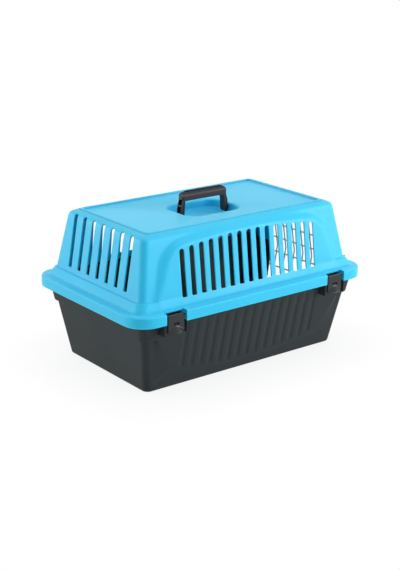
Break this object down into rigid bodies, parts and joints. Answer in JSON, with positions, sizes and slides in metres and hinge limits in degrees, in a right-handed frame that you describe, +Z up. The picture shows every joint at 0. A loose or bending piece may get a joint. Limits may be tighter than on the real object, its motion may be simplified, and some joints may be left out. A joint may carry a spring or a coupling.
{
  "type": "pet carrier",
  "caption": "Plastic pet keeper: dark tub, light blue ventilated top, folding roof handle, side clips and a side-hung wire door with a pinch latch.",
  "frame": {"origin": "under the middle of the tub, on the surface it stands on", "axes": "+X along the length towards the door, +Z up, the pictured long side faces -Y"},
  "size_m": [0.58, 0.385, 0.3412],
  "materials": {
    "blue": "satin",
    "anthracite": "satin",
    "black": "satin",
    "wire_coating": "satin",
    "steel": "plated"
  },
  "bodies": {
    "tub": {"base_tub": "anthracite"},
    "top": {"top_shell": "blue"},
    "bail": {"handle": "black"},
    "clip_front_left_body": {"clip_front_left": "anthracite"},
    "clip_front_right_body": {"clip_front_right": "anthracite"},
    "clip_back_left_body": {"clip_back_left": "anthracite"},
    "clip_back_right_body": {"clip_back_right": "anthracite"},
    "door": {"door_hinge_rod": "wire_coating", "door_hinge_side_wire": "wire_coating", "door_latch_side_wire": "wire_coating", "door_upright_1": "wire_coating", "door_upright_2": "wire_coating", "door_upright_3": "wire_coating", "door_upright_4": "wire_coating", "door_upright_5": "wire_coating", "door_upright_6": "wire_coating", "door_cross_wire_1": "wire_coating", "door_cross_wire_2": "wire_coating", "door_cross_wire_3": "wire_coating", "door_cross_wire_4": "wire_coating", "door_cross_wire_5": "wire_coating", "door_cross_wire_6": "wire_coating", "door_cross_wire_7": "wire_coating", "door_cross_wire_8": "wire_coating", "latch_body": "black", "latch_spring": "steel"},
    "upper_latch": {"upper_bolt": "steel", "upper_finger_pad": "black"},
    "lower_latch": {"lower_bolt": "steel", "lower_finger_pad": "black"}
  },
  "joints": [
    {"name": "top_lift", "type": "slide", "parent": "tub", "child": "top", "axis": [-0.1701, 0, 0.9854], "range_m": [0, 0.2]},
    {"name": "handle_fold", "type": "hinge", "parent": "top", "child": "bail", "pos_m": [0, 0, 0.2922], "axis": [1, 0, 0], "range_deg": [-85, 85]},
    {"name": "front_left_clip", "type": "hinge", "parent": "top", "child": "clip_front_left_body", "pos_m": [-0.2015, -0.179, 0.161], "axis": [-1, 0, 0], "range_deg": [0, 100]},
    {"name": "front_right_clip", "type": "hinge", "parent": "top", "child": "clip_front_right_body", "pos_m": [0.2015, -0.179, 0.161], "axis": [-1, 0, 0], "range_deg": [0, 100]},
    {"name": "back_left_clip", "type": "hinge", "parent": "top", "child": "clip_back_left_body", "pos_m": [-0.2015, 0.179, 0.161], "axis": [1, 0, 0], "range_deg": [0, 100]},
    {"name": "back_right_clip", "type": "hinge", "parent": "top", "child": "clip_back_right_body", "pos_m": [0.2015, 0.179, 0.161], "axis": [1, 0, 0], "range_deg": [0, 100]},
    {"name": "door_swing", "type": "hinge", "parent": "tub", "child": "door", "pos_m": [0.27155, 0.11, 0.1595], "axis": [0, 0, 1], "range_deg": [0, 110]},
    {"name": "upper_pinch", "type": "slide", "parent": "door", "child": "upper_latch", "axis": [0, 0, -1], "range_m": [0, 0.0055], "stiffness_N_per_m": 300, "springref_m": -0.01, "deforming": ["latch_spring"]},
    {"name": "lower_pinch", "type": "slide", "parent": "door", "child": "lower_latch", "axis": [0, 0, 1], "range_m": [0, 0.0055]}
  ],
  "couplings": [
    {"joint": "lower_pinch", "follows": "upper_pinch", "ratio": 1}
  ]
}
